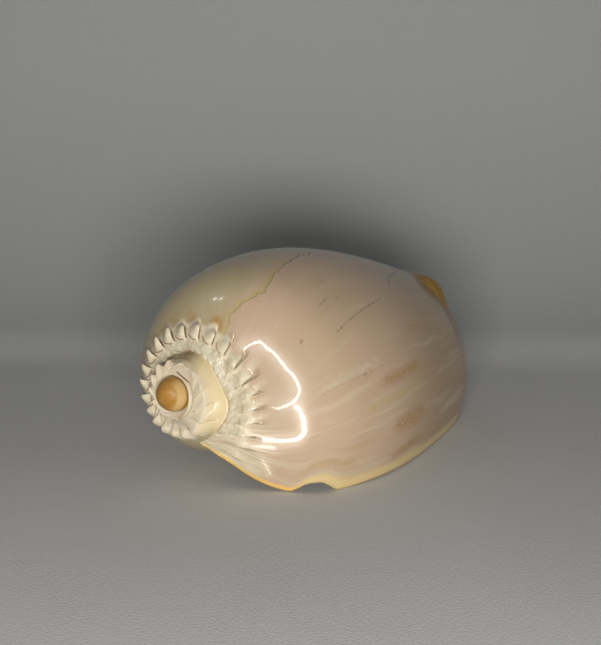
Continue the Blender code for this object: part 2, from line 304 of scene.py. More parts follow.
def body_grid(turn, shares):
    radius, height = np.moveaxis(spline(section_points(turn), shares), -1, 0)
    back = chip(turn, shares)
    radius = radius * BODY_GROWTH ** -back
    return place(radius, turn[:, None] + lag(shares) - back, height)


def raise_ridges(grid, turn, shares):
    """Lift the band around the front end and the folds on the pillar."""
    lift = BAND_RIDGE * ease(-1.05, -0.75, turn) * ease(-0.25, -0.42, turn)
    lift = lift + FLARE * np.exp(-((turn - FLARE_TURN) / FLARE_WIDTH) ** 2)
    bump = np.exp(-((shares - BAND_RIDGE_SHARE) / 0.022) ** 2)
    height = lift[:, None] * bump
    inside = ease(-0.85, -1.05, turn)[:, None]
    for fold in FOLDS:
        centre = fold + FOLD_SLANT * (turn[:, None] + 1.2)
        fade = ease(0.55, 0.68, shares) * ease(1.0, 0.93, shares)
        bump = np.exp(-((shares - centre) / 0.018) ** 2)
        height = height + FOLD_HEIGHT * inside * fade * bump
    return grid + normals(grid) * height[..., None]


def ramp_grid(turn, seam, crown):
    """Rows from the suture out to the crown line, sunk into a canal."""
    across = (np.linspace(0.0, 1.0, RAMP_ROWS + 1)[:-1] ** 1.25)[None, :, None]
    rise = CANAL_DEPTH * canal_share(turn)
    lift = (1.0 - across) * (1.0 - np.exp(-across / 0.12))
    ramp = seam[:, None] * (1.0 - across) + crown[:, None] * across
    ends = [np.hypot(end[:, 0], end[:, 1]) for end in (seam, crown)]
    radius = ends[0][:, None] * (1 - across[..., 0]) + ends[1][:, None] * across[..., 0]
    flat = ramp[..., :2] / np.linalg.norm(ramp[..., :2], axis=-1, keepdims=True)
    height = ramp[..., 2:] + rise[:, None, None] * lift
    return np.concatenate([flat * radius[..., None], height], -1)


def spine_count(turn):
    """Spines passed since the start: crowded near the lip, few at first."""
    count = SPINES_PER_TURN * turn + SPINE_PHASE
    near_lip = np.maximum(turn - SPINES_LIP_TURN, 0.0)
    early = np.maximum(SPINES_EARLY_TURN - turn, 0.0)
    count = count + (SPINES_NEAR_LIP - SPINES_PER_TURN) * near_lip
    return count + (SPINES_PER_TURN - SPINES_EARLY) * early


def spine_layout(grid, turn):
    """Distance from the crown line, spine number, phase and size at each point."""
    steps = np.linalg.norm(np.diff(grid, axis=1), axis=-1)
    run = np.concatenate([np.zeros((len(turn), 1)), np.cumsum(steps, 1)], 1)
    offset = run - run[:, RAMP_ROWS:RAMP_ROWS + 1]
    count = spine_count(turn)
    number = np.floor(count)
    phase = count - number
    size = (crown_radius(turn) / CROWN_LIP_RADIUS) ** 0.5
    size = size * (0.25 + 0.30 * ease(-0.02, -0.09, turn) + 0.45 * ease(-0.22, -0.36, turn))
    size = size * (1.0 - 0.35 * ease(-0.56, -0.76, turn))
    size = size * (1.0 - 0.55 * ease(-1.02, -1.12, turn) * ease(-1.42, -1.32, turn))
    size = size * ease(FIRST_TURN + 0.25, FIRST_TURN + 0.75, turn)
    size = size * (0.80 + 0.40 * hashed(number, 1.0))
    return offset, number, phase, size


def add_spines(grid, turn, layout):
    """Raise the hollow spines that lean forwards along the crown line."""
    offset, number, phase, size = layout
    worn = ease(-0.34, -0.22, turn) + ease(-1.00, -1.10, turn)
    centre = SPINE_CENTRE - 0.0024 * worn + 0.0008 * (hashed(number, 2.0) - 0.5)
    centre = centre + SPINE_CLAW * (phase - 0.5) * (1.0 - 0.7 * worn)
    away = offset - centre[:, None]
    inner_reach = SPINE_INNER_REACH * (1.0 + 0.2 * worn)[:, None]
    outer_reach = SPINE_OUTER_REACH * (1.0 + 0.4 * worn)[:, None]
    inner = np.exp(-(np.minimum(away, 0.0) / inner_reach) ** 2)
    outer = np.exp(-(np.maximum(away, 0.0) / outer_reach) ** 2)
    back = ease(0.04, 0.62, phase)
    front = ease(0.90, 0.76, phase)
    hollow = -0.25 * ease(0.78, 0.86, phase) * ease(1.0, 0.92, phase)
    amount = SPINE_HEIGHT * (size * (back * front + hollow))[:, None] * inner * outer
    angle = 2.0 * pi * turn
    out = np.stack([np.cos(angle), -np.sin(angle), 0.0 * angle], -1)
    ahead = np.stack([-np.sin(angle), -np.cos(angle), 0.0 * angle], -1)
    lean = 0.70 * out + 0.50 * ahead + np.array((0.0, 0.0, 0.50))
    lean = lean - 0.30 * worn[:, None] * ahead + worn[:, None] * np.array((0.0, 0.0, 0.25))
    return grid + amount[..., None] * lean[:, None]


def add_knobs(grid, turn, layout):
    """Raise small knobs along the rim of the ramp, one and a half to a spine."""
    offset = layout[0]
    spot = np.modf(1.5 * spine_count(turn) + 100.0)[0]
    number = np.floor(1.5 * spine_count(turn))
    beat = ease(0.10, 0.45, spot) * ease(0.95, 0.60, spot)
    beat = beat * (0.5 + hashed(number, 3.0)) * ease(-1.0, -0.92, turn)
    across = (offset - offset[:, :1]) / np.maximum(-offset[:, :1], 1e-6)
    place_in = ease(0.0, 0.10, across) * ease(0.42, 0.18, across)
    amount = RIM_KNOB * beat[:, None] * place_in
    return grid + amount[..., None] * np.array((0.0, 0.0, 1.0))


def outer_grid(turn):
    """The outside of the whole coil, suture to front edge, at every step."""
    shares = body_shares(turn)
    body = raise_ridges(body_grid(turn, shares), turn, shares)
    seam_row = body[:, BAND_ROWS]
    base = place(np.full(BACK, DOME_RADIUS), turn[:BACK] * STEPS / BACK,
                 np.full(BACK, -DOME_HEIGHT))
    seam = np.concatenate([base, seam_row[:-BACK]])
    grid = np.concatenate([ramp_grid(turn, seam, body[:, 0]), body], 1)
    layout = spine_layout(grid, turn)
    grid = add_knobs(add_spines(grid, turn, layout), turn, layout)
    swell = 0.12 + 0.88 * ease(FIRST_TURN, FIRST_TURN + 0.35, turn)
    first = slice(0, BACK)
    grid[first] = base[:, None] + swell[first, None, None] * (grid[first] - base[:, None])
    grid[BACK:, 0] = grid[:-BACK, RAMP_ROWS + BAND_ROWS]
    ramp_shares = np.linspace(-1.0, 0.0, RAMP_ROWS + 1)[None, :-1].repeat(len(turn), 0)
    return grid, np.hstack([ramp_shares, shares]), layout


def inner_grid(turn):
    """The inside face of the outer wall, from the lip back into the coil."""
    shares = np.tile(np.linspace(0.0, 1.0, INNER_ROWS + 1) ** 1.5, (len(turn), 1))
    body = body_grid(turn, shares)
    wall = LIP_WALL + (WALL - LIP_WALL) * ease(0.0, -0.12, turn)
    return body - normals(body) * wall[:, None, None], shares


class Sheet:
    """Collects the points, their notes for the materials, and the faces."""

    def __init__(self):
        self.points = []
        self.notes = []
        self.faces = []
        self.kinds = []
        self.kind = 0

    def add(self, point, note):
        self.points.append(point)
        self.notes.append(note)
        return len(self.points) - 1

    def face(self, *corners):
        """Add a face whose corners run clockwise seen from outside."""
        kept = [c for k, c in enumerate(corners) if c != corners[k - 1]]
        if len(kept) > 2:
            self.faces.append(kept[::-1])
            self.kinds.append(self.kind)

    def quads(self, ids, flip=False):
        ids = ids.tolist()
        for low, high in zip(ids, ids[1:]):
            for a, b, c, d in zip(low, low[1:], high[1:], high):
                if flip:
                    self.face(a, d, c, b)
                else:
                    self.face(a, b, c, d)

    def zip_chains(self, first, second):
        """Join two chains of vertices with triangles, evenly along both."""
        spots = []
        for chain in (first, second):
            places = np.array([self.points[k] for k in chain])
            run = np.cumsum(np.linalg.norm(np.diff(places, axis=0), axis=1))
            spots.append(np.concatenate([[0.0], run / max(run[-1], 1e-9)]))
        a, b = 0, 0
        while a < len(first) - 1 or b < len(second) - 1:
            if b == len(second) - 1 or (
                    a < len(first) - 1 and spots[0][a + 1] <= spots[1][b + 1]):
                self.face(first[a], first[a + 1], second[b])
                a += 1
            else:
                self.face(first[a], second[b + 1], second[b])
                b += 1


# What each vertex keeps for the materials
NOTES = ("turn", "share", "run", "phase", "spine", "edge")


def close_dome(sheet, loop):
    """Cap the start of the coil with the smooth dome."""
    sheet.kind = 1
    chain = list(loop)
    levels = len(DOME_RINGS)
    for level, count in enumerate(DOME_RINGS):
        angle = 0.5 * pi * (level + 1) / (levels + 1)
        radius = DOME_RADIUS * cos(angle)
        height = -DOME_HEIGHT * (1.0 - sin(angle))
        ring = []
        for k in range(count):
            point = place(np.array(radius), FIRST_TURN + k / count, height)
            side = cos(2.0 * pi * (k / count - DOME_LIGHT_SIDE))
            note = (FIRST_TURN, radius / DOME_RADIUS, 0.0, side, 0.0, 50.0)
            ring.append(sheet.add(point, note))
        ring.append(ring[0])
        sheet.zip_chains(chain, ring)
        chain = ring
    tip = sheet.add(np.zeros(3), (FIRST_TURN, 0.0, 0.0, 0.0, 0.0, 50.0))
    for a, b in zip(chain, chain[1:]):
        sheet.face(tip, a, b)


def close_pillar(sheet, loop):
    """Cap the front end of the pillar with a blunt tip."""
    sheet.kind = 2
    rim = np.array([sheet.points[k] for k in loop])
    tip = rim.mean(0) - np.array((0.0, 0.0, PILLAR_TIP_DROP))
    chain = list(loop) + [loop[0]]
    note = (-0.6, 1.0, 150.0, 0.0, 0.0, 50.0)
    for share in (0.2, 0.4, 0.6, 0.8):
        drop = PILLAR_TIP_DROP * share * (1.0 - share)
        ring = [sheet.add(point * (1 - share) + tip * share - np.array((0, 0, drop)), note)
                for point in rim[::2]]
        ring.append(ring[0])
        sheet.zip_chains(ring, chain)
        chain = ring
    centre = sheet.add(tip, note)
    for a, b in zip(chain, chain[1:]):
        sheet.face(b, a, centre)


def shell_sheet():
    """Build the closed sheet: outside, inside, rims, dome and pillar tip."""
    start = round(FIRST_TURN * STEPS)
    turn = np.arange(start, 1) / STEPS
    last = len(turn) - 1
    seam = RAMP_ROWS + BAND_ROWS
    inner_seam = seam + 1
    free = round(FREE_EDGE_TURNS * STEPS)
    deep = round(CAVITY_TURNS * STEPS)

    outer, shares, layout = outer_grid(turn)
    offset, number, phase, size = layout
    edge = np.where(np.arange(outer.shape[1]) < RAMP_ROWS, offset - offset[:, :1],
                    np.where(turn[:, None] < -1.0, offset[:, seam:seam + 1] - offset, 0.05))
    sheet = Sheet()
    out = np.full(outer.shape[:2], -1)
    for i in range(last + 1):
        for j in range(outer.shape[1]):
            if j == 0 and i >= BACK:
                out[i, j] = out[i - BACK, seam]
            elif j <= seam or i >= last - BACK - deep:
                note = (turn[i], shares[i, j], offset[i, j] * 1000.0, phase[i], size[i],
                        edge[i, j] * 1000.0)
                out[i, j] = sheet.add(outer[i, j], note)
    end = last - BACK
    sheet.quads(out[:end + 1, :seam + 1])
    sheet.quads(out[end:])
    sheet.kind = 2
    sheet.quads(out[end - deep:end + 1, inner_seam:])

    inner, inner_shares = inner_grid(turn[last - deep:])
    ins = np.full(inner.shape[:2], -1)
    for k in range(deep + 1):
        i = last - deep + k
        for j in range(inner.shape[1]):
            if j == 0:
                ins[k, j] = out[i - BACK, inner_seam]
            elif j == inner.shape[1] - 1 and i <= last - free:
                ins[k, j] = out[i - BACK, -1]
            else:
                note = (turn[i], inner_shares[k, j], 60.0, 0.0, 0.0, 50.0)
                ins[k, j] = sheet.add(inner[k, j], note)
    sheet.quads(ins, flip=True)

    # lip, free front edge and the blind end of the cavity
    lip_inner = list(out[end, seam:inner_seam]) + list(ins[-1])
    sheet.kind = 3
    sheet.zip_chains(list(out[last]), lip_inner)
    for k in range(deep - free, deep):
        i = last - deep + k
        sheet.face(out[i, -1], ins[k, -1], ins[k + 1, -1], out[i + 1, -1])
    sheet.kind = 2
    sheet.zip_chains(list(ins[0]), list(out[end - deep, inner_seam:]))

    close_dome(sheet, list(out[:BACK, 0]) + list(out[0, seam::-1]))
    close_pillar(sheet, list(out[last - free - BACK:last - free + 1, -1]))
    return sheet


def lying_matrix():
    """Turn the shell's own frame so that the shell lies on its opening."""
    tilt, down = radians(APEX_UP_DEGREES), radians(LIP_DOWN_DEGREES)
    axis = Vector((-cos(tilt), 0.0, sin(tilt)))
    side, up = Vector((0.0, -1.0, 0.0)), Vector((sin(tilt), 0.0, cos(tilt)))
    columns = (side * cos(down) - up * sin(down),
               up * cos(down) + side * sin(down), axis)
    return Matrix(columns).transposed().to_4x4()


def build_shell(materials):
    """Make the fine shell mesh and put it where the solid is."""
    sheet = shell_sheet()
    turned = np.array(sheet.points) @ np.array(lying_matrix())[:3, :3].T
    low, high = turned.min(0), turned.max(0)
    cad_low, cad_high = (np.array(corner) for corner in CAD_BOX)
    needed = high - low - np.array((0.0, 0.0, WORN_FLAT))
    fit = min(1.0, float(((cad_high - cad_low - FIT_MARGIN) / needed).min()))
    turned, low, high = turned * fit, low * fit, high * fit
    shift = 0.5 * (cad_low + cad_high) - 0.5 * (low + high)
    shift[2] = cad_low[2] - low[2] - WORN_FLAT
    turned = turned + shift
    turned[:, 2] = np.maximum(turned[:, 2], 0.0)
    seat = Matrix.Translation(shift.tolist()) @ lying_matrix() @ Matrix.Scale(fit, 4)
    print("fine shell", len(sheet.faces), "faces, size", (high - low).round(5))
    mesh = bpy.data.meshes.new("shell_surface")
    mesh.from_pydata(turned.tolist(), [], [[int(c) for c in f] for f in sheet.faces])
    notes = np.array(sheet.notes, dtype=np.float32)
    for k, name in enumerate(NOTES):
        layer = mesh.attributes.new(name, "FLOAT", "POINT")
        layer.data.foreach_set("value", np.ascontiguousarray(notes[:, k]))
    for material in materials:
        mesh.materials.append(material)
    mesh.polygons.foreach_set("material_index", sheet.kinds)
    mesh.polygons.foreach_set("use_smooth", [True] * len(sheet.faces))
    mesh.update()
    shell = bpy.data.objects.new("shell_surface", mesh)
    bpy.context.scene.collection.objects.link(shell)
    return shell, seat


class Nodes:
    """Short words for building a material's node tree."""

    def __init__(self, name):
        self.material = bpy.data.materials.new(name)
        self.material.use_nodes = True
        self.tree = self.material.node_tree
        self.shader = self.tree.nodes["Principled BSDF"]

    def new(self, kind, **settings):
        node = self.tree.nodes.new(kind)
        for key, value in settings.items():
            setattr(node, key, value)
        return node

    def put(self, socket, value):
        if isinstance(value, bpy.types.NodeSocket):
            self.tree.links.new(value, socket)
        else:
            socket.default_value = value

    def note(self, name):
        return self.new("ShaderNodeAttribute", attribute_name=name).outputs["Fac"]

    def math(self, operation, a, b=0.0, clamp=False):
        node = self.new("ShaderNodeMath", operation=operation, use_clamp=clamp)
        self.put(node.inputs[0], a)
        self.put(node.inputs[1], b)
        return node.outputs[0]

    def add(self, a, b):
        return self.math("ADD", a, b)

    def sub(self, a, b):
        return self.math("SUBTRACT", a, b)

    def mul(self, a, b):
        return self.math("MULTIPLY", a, b)

    def smooth(self, low, high, value):
        """Rise smoothly from 0 at low to 1 at high, or fall where high is less."""
        node = self.new("ShaderNodeMapRange", interpolation_type="SMOOTHSTEP")
        self.put(node.inputs["Value"], value)
        if low < high:
            ends = (low, high, 0.0, 1.0)
        else:
            ends = (high, low, 1.0, 0.0)
        for k, end in enumerate(ends):
            node.inputs[k + 1].default_value = end
        return node.outputs["Result"]

    def bell(self, centre, width, value):
        """1 at the centre, falling smoothly to 0 at the width on each side."""
        away = self.math("ABSOLUTE", self.sub(value, centre))
        return self.smooth(width, 0.0, away)

    def span(self, start, full, fade, end, value):
        """1 between full and fade, 0 before start and after end."""
        return self.mul(self.smooth(start, full, value), self.smooth(end, fade, value))

    def dot(self, turn, run, at_turn, at_run, size, girth):
        """A small spot of the given size in millimetres."""
        aside = self.mul(self.sub(turn, at_turn), girth)
        ahead = self.sub(run, at_run)
        away = self.math("SQRT", self.add(self.mul(aside, aside), self.mul(ahead, ahead)))
        return self.smooth(size, 0.4 * size, away)

    def vector(self, x, y=0.0, z=0.0):
        node = self.new("ShaderNodeCombineXYZ")
        for socket, value in zip(node.inputs, (x, y, z)):
            self.put(socket, value)
        return node.outputs[0]

    def noise(self, where, scale, detail=2.0, rough=0.5):
        node = self.new("ShaderNodeTexNoise", noise_dimensions="3D")
        self.put(node.inputs["Vector"], where)
        node.inputs["Scale"].default_value = scale
        node.inputs["Detail"].default_value = detail
        node.inputs["Roughness"].default_value = rough
        return node.outputs["Fac"]

    def place(self):
        return self.new("ShaderNodeTexCoord").outputs["Object"]

    def mix(self, amount, a, b, blend="MIX"):
        node = self.new("ShaderNodeMix", data_type="RGBA", blend_type=blend)
        self.put(node.inputs["Factor"], amount)
        for name, value in (("A", a), ("B", b)):
            socket = [s for s in node.inputs if s.name == name and s.type == "RGBA"][0]
            if isinstance(value, tuple) and len(value) == 3:
                value = value + (1.0,)
            self.put(socket, value)
        return [s for s in node.outputs if s.type == "RGBA"][0]

    def bump(self, height, distance, strength=1.0, before=None):
        node = self.new("ShaderNodeBump")
        node.inputs["Strength"].default_value = strength
        node.inputs["Distance"].default_value = distance
        self.put(node.inputs["Height"], height)
        if before is not None:
            self.put(node.inputs["Normal"], before)
        return node.outputs["Normal"]


# Girths in millimetres, for the size of spots on the body, crown and spire
BODY_GIRTH = 360.0
CROWN_GIRTH = 200.0
SPIRE_GIRTH = 70.0

BEIGE = (0.48, 0.350, 0.222)
PINK = (0.51, 0.358, 0.240)
OLIVE_GREY = (0.42, 0.352, 0.200)
SHADE_BROWN = (0.36, 0.240, 0.115)
CREAM = (0.66, 0.555, 0.375)
RAMP_GREY = (0.50, 0.425, 0.265)
WHITE = (0.74, 0.650, 0.470)
CREAM_YELLOW = (0.72, 0.585, 0.335)
PALE = (0.60, 0.510, 0.345)
LIP_YELLOW = (0.72, 0.550, 0.240)
AMBER = (0.76, 0.480, 0.130)
OCHRE = (0.38, 0.235, 0.070)
OLIVE_YELLOW = (0.46, 0.370, 0.130)
RUST = (0.36, 0.185, 0.045)
BROWN = (0.22, 0.130, 0.055)
OLIVE_BROWN = (0.19, 0.140, 0.065)
DARK = (0.055, 0.040, 0.025)
HONEY = (0.35, 0.160, 0.020)
HONEY_LIGHT = (0.60, 0.400, 0.150)


def body_colour(n, turn, run, line):
    """Beige ground with streaks, bands and stains along the growth lines, and painted shade far from the
    crown line.
    """
    streaks = n.noise(n.vector(n.mul(line, 60.0), n.mul(run, 0.012)), 1.0, 4.0, 0.6)
    broad = n.noise(n.vector(n.mul(line, 14.0), n.mul(run, 0.016), 3.0), 1.0, 2.0)
    colour = n.mix(n.smooth(0.35, 0.65, broad), BEIGE, PINK)
    # painted shade: the body turns darker brown far from the crown line
    colour = n.mix(n.mul(n.smooth(70.0, 130.0, run), 0.75), colour, SHADE_BROWN)
    left = n.smooth(-0.275, -0.305, n.add(turn, n.mul(n.smooth(34.0, 12.0, run), 0.036)))
    colour = n.mix(n.mul(left, 0.85), colour, OLIVE_GREY)

    # streaks get stronger towards the lip
    late = n.add(n.mul(n.smooth(-0.16, -0.06, turn), 0.55), 0.25)
    light = n.mul(n.smooth(0.52, 0.70, streaks), late)
    dark = n.mul(n.smooth(0.47, 0.32, streaks), late)
    colour = n.mix(n.mul(light, 0.7), colour, PALE)
    colour = n.mix(n.mul(dark, 0.55), colour, (0.42, 0.270, 0.120))

    # amber bands and hatched blocks that the growth lines cut across
    hatch = n.noise(n.vector(n.mul(turn, 420.0), n.mul(run, 0.55)), 1.0, 2.0, 0.6)
    ragged = n.mul(n.sub(n.noise(n.vector(n.mul(line, 90.0), n.mul(run, 0.10)), 1.0, 3.0), 0.5), 12.0)
    along = n.add(run, ragged)
    grain = n.add(n.mul(n.smooth(0.38, 0.58, hatch), 0.6), 0.4)
    for centre, half, start, end, amount, tint in AMBER_BANDS:
        band = n.mul(n.bell(centre, half, line), n.span(start, start + 9.0, end - 9.0, end, along))
        colour = n.mix(n.mul(n.mul(band, grain), amount), colour, tint)
    return colour


# Amber bands: turn, half width in turns, start and end of the run, strength, tint
AMBER_BANDS = (
    (-0.096, 0.010, 62.0, 100.0, 0.62, RUST),
    (-0.078, 0.006, 50.0, 98.0, 0.50, OLIVE_YELLOW),
    (-0.050, 0.014, 70.0, 103.0, 0.72, RUST),
    (-0.021, 0.008, 76.0, 106.0, 0.72, RUST),
    (-0.030, 0.010, 26.0, 60.0, 0.45, OCHRE),
    (-0.135, 0.012, 92.0, 130.0, 0.55, OCHRE),
)

# Brown spots on the body and dark pits around the dome: turn, run and size
SPOTS = ((-0.198, 58.3, 0.8), (-0.191, 29.8, 1.3), (-0.223, 58.2, 0.7), (-0.238, 101.5, 0.9))
PITS = ((-1.330, -6.2, 0.65), (-1.290, -7.0, 0.80), (-1.249, -5.4, 0.45), (-2.050, -4.0, 0.70),
        (-1.925, -6.9, 0.55), (-1.115, -5.1, 0.60), (-1.559, -3.8, 0.50))


def add_marks(n, colour, turn, run, line):
    """Scars, cracks, rows of pin holes and single spots."""
    scar_turn = n.add(n.mul(n.sub(run, 35.0), 0.0003), -0.126)
    off = n.sub(line, scar_turn)
    torn = n.noise(n.vector(n.mul(run, 0.35), n.mul(turn, 150.0), 5.0), 1.0, 3.0, 0.6)
    reach = n.span(27.0, 36.0, 60.0, 72.0, run)
    pale = n.mul(n.mul(n.bell(0.0, 0.009, off), reach), n.smooth(0.36, 0.56, torn))
    colour = n.mix(n.mul(pale, 0.55), colour, (0.54, 0.460, 0.320))
    edge = n.mul(n.mul(n.bell(0.0055, 0.0016, off), reach), n.smooth(0.48, 0.56, torn))
    colour = n.mix(n.mul(edge, 0.75), colour, OLIVE_BROWN)

    # break line left by an old injury, parallel to the growth lines
    ragged = n.noise(n.vector(n.mul(run, 0.17), 0.0, 7.0), 1.0, 4.0, 0.62)
    jag = n.mul(n.sub(ragged, 0.5), 0.026)
    broken = n.add(n.add(turn, jag), n.mul(n.smooth(34.0, 11.0, run), 0.040))
    reach = n.span(3.0, 6.0, 76.0, 84.0, run)
    beside = n.mul(n.bell(-0.275, 0.0075, broken), reach)
    near = n.smooth(62.0, 30.0, run)
    colour = n.mix(n.mul(beside, n.add(n.mul(near, 0.6), 0.15)), colour, OLIVE_YELLOW)
    crack = n.mul(n.bell(-0.2725, 0.0018, broken), reach)
    depth = n.add(n.mul(n.smooth(48.0, 60.0, run), 0.5), 0.45)
    colour = n.mix(n.mul(crack, depth), colour, (0.11, 0.075, 0.040))

    # crack at the front end, and rows of pin holes
    bent = n.add(n.mul(n.math("MAXIMUM", n.sub(run, 113.0), 0.0), 0.00072),
                 n.mul(n.math("MAXIMUM", n.sub(113.0, run), 0.0), -0.0019))
    jag = n.mul(n.sub(n.noise(n.vector(n.mul(run, 0.6), 2.0), 1.0, 2.0), 0.5), 0.010)
    front = n.bell(-0.205, 0.0022, n.add(n.add(turn, bent), jag))
    front = n.mul(front, n.span(104.0, 107.0, 140.0, 150.0, run))
    colour = n.mix(n.mul(front, 0.9), colour, DARK)
    holes = n.smooth(0.50, 0.60, n.noise(n.vector(n.mul(run, 0.95), 4.0), 1.0, 1.0))
    rows = n.bell(0.0, 0.0016, n.sub(n.add(turn, n.mul(n.sub(run, 48.0), 0.00018)), -0.168))
    rows = n.mul(rows, n.span(46.0, 49.0, 84.0, 90.0, run))
    short = n.mul(n.bell(-0.204, 0.0016, turn), n.span(45.0, 46.5, 53.0, 55.0, run))
    rows = n.mul(n.math("MAXIMUM", rows, short), n.add(n.mul(holes, 0.75), 0.20))
    colour = n.mix(rows, colour, (0.13, 0.095, 0.050))
    for at_turn, at_run, size in SPOTS:
        spot = n.dot(turn, run, at_turn, at_run, size, BODY_GIRTH)
        colour = n.mix(n.mul(spot, 0.5), colour, BROWN)
    return colour


def add_front_and_lip(n, colour, turn, share, run, line):
    """Amber flare at the front end, and the pale and amber edge of the lip."""
    flare = n.span(-0.30, -0.26, -0.12, -0.09, turn)
    fibre = n.noise(n.vector(n.mul(turn, 30.0), n.mul(share, 260.0)), 1.0, 2.0)
    amber = n.mix(n.smooth(0.4, 0.62, fibre), (0.32, 0.180, 0.030), (0.17, 0.100, 0.022))
    colour = n.mix(n.mul(n.smooth(0.918, 0.930, share), flare), colour, amber)
    # painted shade: a dark line under the raised edge of the flare
    colour = n.mix(n.mul(n.mul(n.bell(0.920, 0.009, share), flare), 0.8), colour, (0.10, 0.070, 0.040))

    grey = n.mul(n.span(-0.050, -0.022, -0.006, -0.002, line), n.smooth(20.0, 9.0, run))
    colour = n.mix(n.mul(grey, 0.8), colour, PALE)
    ribs = n.noise(n.vector(n.mul(turn, 330.0), n.mul(run, 0.06)), 1.0, 2.0)
    ribbed = n.mul(n.smooth(0.48, 0.62, ribs), n.mul(n.smooth(-0.13, -0.06, turn), n.smooth(24.0, 8.0, run)))
    colour = n.mix(n.mul(ribbed, 0.6), colour, WHITE)
    edge = n.mul(n.smooth(-0.016, -0.007, line), n.smooth(26.0, 40.0, run))
    colour = n.mix(n.mul(edge, 0.75), colour, LIP_YELLOW)
    rear = n.mul(n.smooth(-0.0085, -0.0045, turn), n.smooth(40.0, 30.0, run))
    return n.mix(n.mul(rear, 0.95), colour, AMBER)


def add_crown(n, colour, turn, run, phase, spine, edge):
    """Cream scales with painted shade in their hollows, the ramp inside them and their stains, with painted
    shadow behind the worn ridges and stain and painted shade in the recess.
    """
    where = n.place()
    mottle = n.noise(where, 420.0, 3.0, 0.6)
    standing = n.smooth(0.12, 0.34, spine)
    stain = n.noise(n.vector(n.mul(turn, 38.0), n.mul(run, 0.16), 1.0), 1.0, 3.0, 0.6)
    stained = n.mul(n.span(2.0, 5.0, 7.0, 16.0, run), n.smooth(0.42, 0.66, stain))
    stained = n.mul(stained, n.span(-0.62, -0.48, -0.34, -0.29, turn))
    colour = n.mix(n.mul(stained, 0.60), colour, OCHRE)
    patch = n.dot(turn, run, -0.338, 7.2, 4.6, CROWN_GIRTH)
    colour = n.mix(n.mul(patch, 0.8), colour, (0.40, 0.220, 0.060))

    late = n.smooth(-0.34, -0.26, turn)
    # painted shadow: olive-brown on the forward side of each worn ridge near the lip, trailing onto the body
    tail = n.mul(n.mul(n.span(0.62, 0.76, 0.96, 1.0, phase), n.span(0.0, 2.0, 5.0, 10.0, run)), late)
    colour = n.mix(n.mul(tail, 0.80), colour, (0.25, 0.170, 0.070))
    ridge = n.mul(n.mul(n.span(0.10, 0.3, 0.5, 0.66, phase), n.span(0.0, 2.0, 6.0, 12.0, run)), late)
    colour = n.mix(n.mul(ridge, 0.45), colour, CREAM)

    worn_reach = n.sub(run, n.mul(n.smooth(0.2, 0.75, phase), 2.2))
    reach = n.smooth(6.4, 3.6, n.add(worn_reach, n.mul(late, 3.2)))
    scales = n.mul(reach, n.smooth(-0.035, -0.08, turn))
    cream = n.mix(n.smooth(0.38, 0.62, mottle), CREAM, WHITE)
    ramp = n.mix(n.smooth(0.36, 0.60, mottle), RAMP_GREY, (0.64, 0.560, 0.410))
    cream = n.mix(n.smooth(-1.6, -3.0, run), cream, ramp)
    colour = n.mix(scales, colour, cream)
    early = n.smooth(-0.97, -1.03, turn)
    band = n.mix(n.smooth(3.0, 0.6, run), CREAM_YELLOW, (0.67, 0.560, 0.395))
    colour = n.mix(early, colour, band)
    # the recess is painted dark: brown stain, and painted shade of its depth
    recess = n.mul(n.span(-1.70, -1.60, -1.38, -1.29, turn), n.smooth(2.0, 4.4, run))
    colour = n.mix(n.mul(recess, 0.92), colour, (0.21, 0.150, 0.075))

    # arcs behind each scale, brown and partly painted shadow under the scale's tip, its hollow front with
    # painted shade, and the brown suture line
    aside = n.mul(n.sub(phase, 0.50), 2.8)
    ahead = n.mul(n.add(run, -0.2), 0.40)
    away = n.math("SQRT", n.add(n.mul(aside, aside), n.mul(ahead, ahead)))
    # brown arc, partly painted shadow in the gap under the scale's tip
    arc = n.mul(n.bell(1.0, 0.17, away), n.mul(n.smooth(0.66, 0.56, phase), n.smooth(1.0, 0.2, run)))
    tall = n.mul(standing, n.smooth(-0.26, -0.33, turn))
    arc = n.mul(n.mul(arc, tall), n.smooth(-0.90, -0.75, turn))
    colour = n.mix(n.mul(arc, 0.92), colour, (0.27, 0.135, 0.045))
    # painted shade: olive-brown in the hollow front of each standing scale
    hollow = n.mul(n.span(0.74, 0.82, 0.96, 1.0, phase), n.span(-2.4, -0.6, 3.6, 5.4, run))
    hollow = n.mul(n.mul(hollow, standing), n.sub(1.0, n.mul(early, 0.65)))
    colour = n.mix(n.mul(hollow, 0.85), colour, OLIVE_BROWN)
    suture = n.mul(n.smooth(0.50, 0.15, n.math("ABSOLUTE", edge)), n.smooth(-1.45, -1.35, turn))
    colour = n.mix(n.mul(suture, 0.6), colour, (0.30, 0.170, 0.070))
    for at_turn, at_run, size in PITS:
        pit = n.dot(turn, run, at_turn, at_run, size, SPIRE_GIRTH)
        colour = n.mix(n.mul(pit, 0.85), colour, (0.15, 0.055, 0.030))
    return colour


